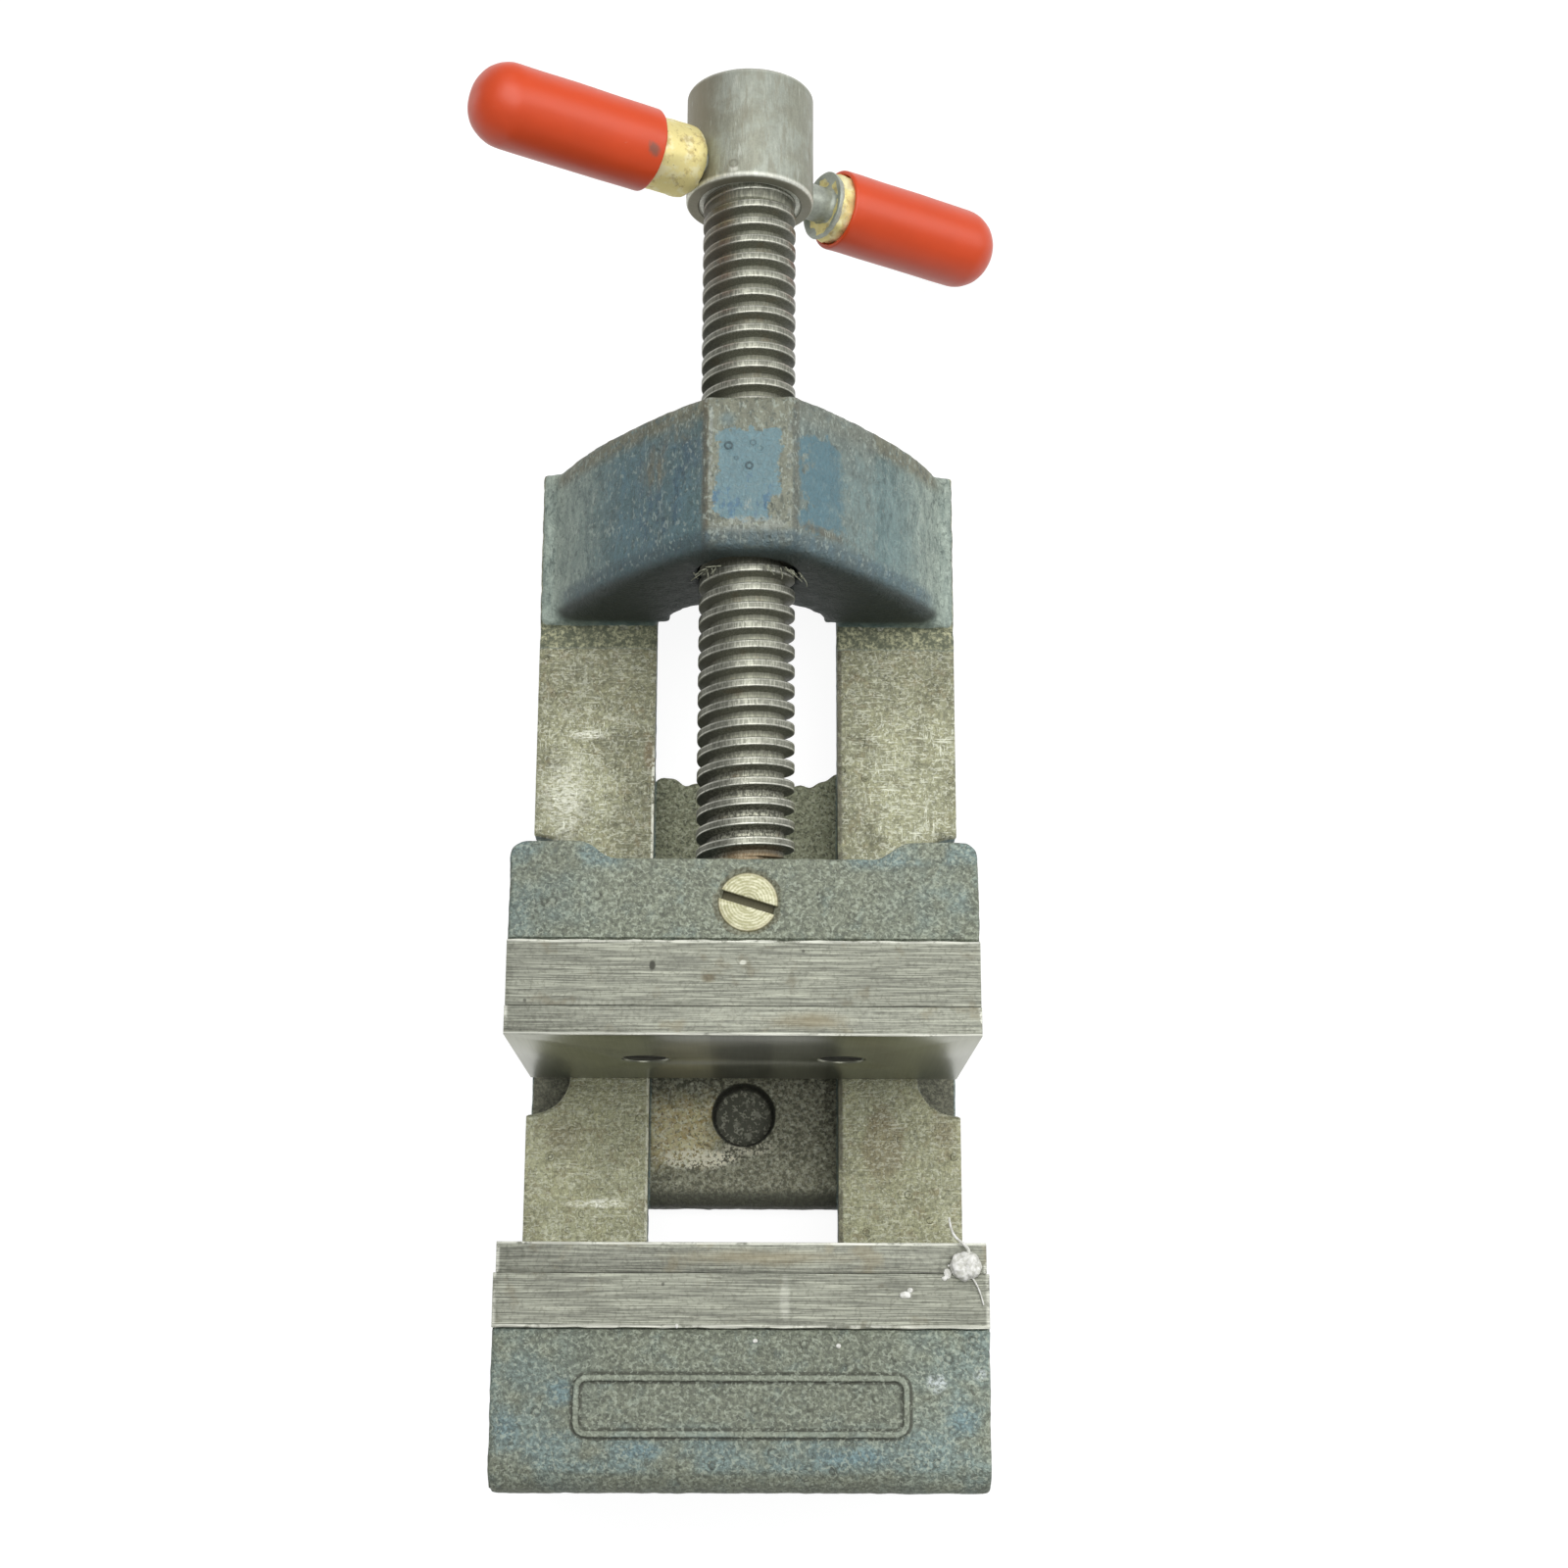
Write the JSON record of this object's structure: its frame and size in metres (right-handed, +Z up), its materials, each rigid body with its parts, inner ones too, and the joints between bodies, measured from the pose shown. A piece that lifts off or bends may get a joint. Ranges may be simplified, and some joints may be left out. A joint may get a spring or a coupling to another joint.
{
  "type": "drill press vise",
  "caption": "Cast drill press vise with ground rails, a sliding jaw on a coarse lead screw through a humped yoke, and a tommy bar with red vinyl grips",
  "frame": {"origin": "centre of the flat underside of the base", "axes": "+Z up from the underside, +Y along the rails from the fixed jaw to the handle, +X to the right of someone who stands at the fixed jaw"},
  "size_m": [0.0799, 0.2055, 0.0619],
  "materials": {
    "cast_iron": "cast, with worn blue paint and ground faces",
    "ground_steel": "ground bright, lightly stained",
    "screw_steel": "turned, with dark oily grooves",
    "dark_steel": "dull dark",
    "brass": "worn and pale",
    "red_vinyl": "glossy, scuffed"
  },
  "bodies": {
    "base": {"body_casting": "cast_iron", "fixed_jaw_plate": "ground_steel", "fixed_plate_screw_1": "dark_steel", "fixed_plate_screw_2": "dark_steel"},
    "slide_jaw": {"moving_jaw": "cast_iron", "moving_jaw_plate": "ground_steel", "moving_plate_screw_1": "dark_steel", "moving_plate_screw_2": "dark_steel", "keeper_plate": "dark_steel", "keeper_screw_1": "dark_steel", "keeper_screw_2": "dark_steel", "retaining_screw": "brass"},
    "spindle": {"lead_screw": "screw_steel"},
    "handle": {"tommy_bar": "screw_steel", "collar_left": "screw_steel", "collar_right": "screw_steel", "brass_sleeve_left": "brass", "brass_sleeve_right": "brass", "grip_cap_left": "red_vinyl", "grip_cap_right": "red_vinyl"}
  },
  "joints": [
    {"name": "jaw_slide", "type": "slide", "parent": "base", "child": "slide_jaw", "axis": [0, -1, 0], "range_m": [-0.043, 0.0262]},
    {"name": "screw_turn", "type": "hinge", "parent": "slide_jaw", "child": "spindle", "pos_m": [0, 0.00575, 0.034], "axis": [0, -1, 0], "range_deg": [-5400, 3300]},
    {"name": "bar_slide", "type": "slide", "parent": "spindle", "child": "handle", "axis": [-0.8462, 0, 0.5329], "range_m": [0, 0.0033]}
  ],
  "couplings": [
    {"joint": "screw_turn", "follows": "jaw_slide", "rad_per_m": 2189.3}
  ]
}
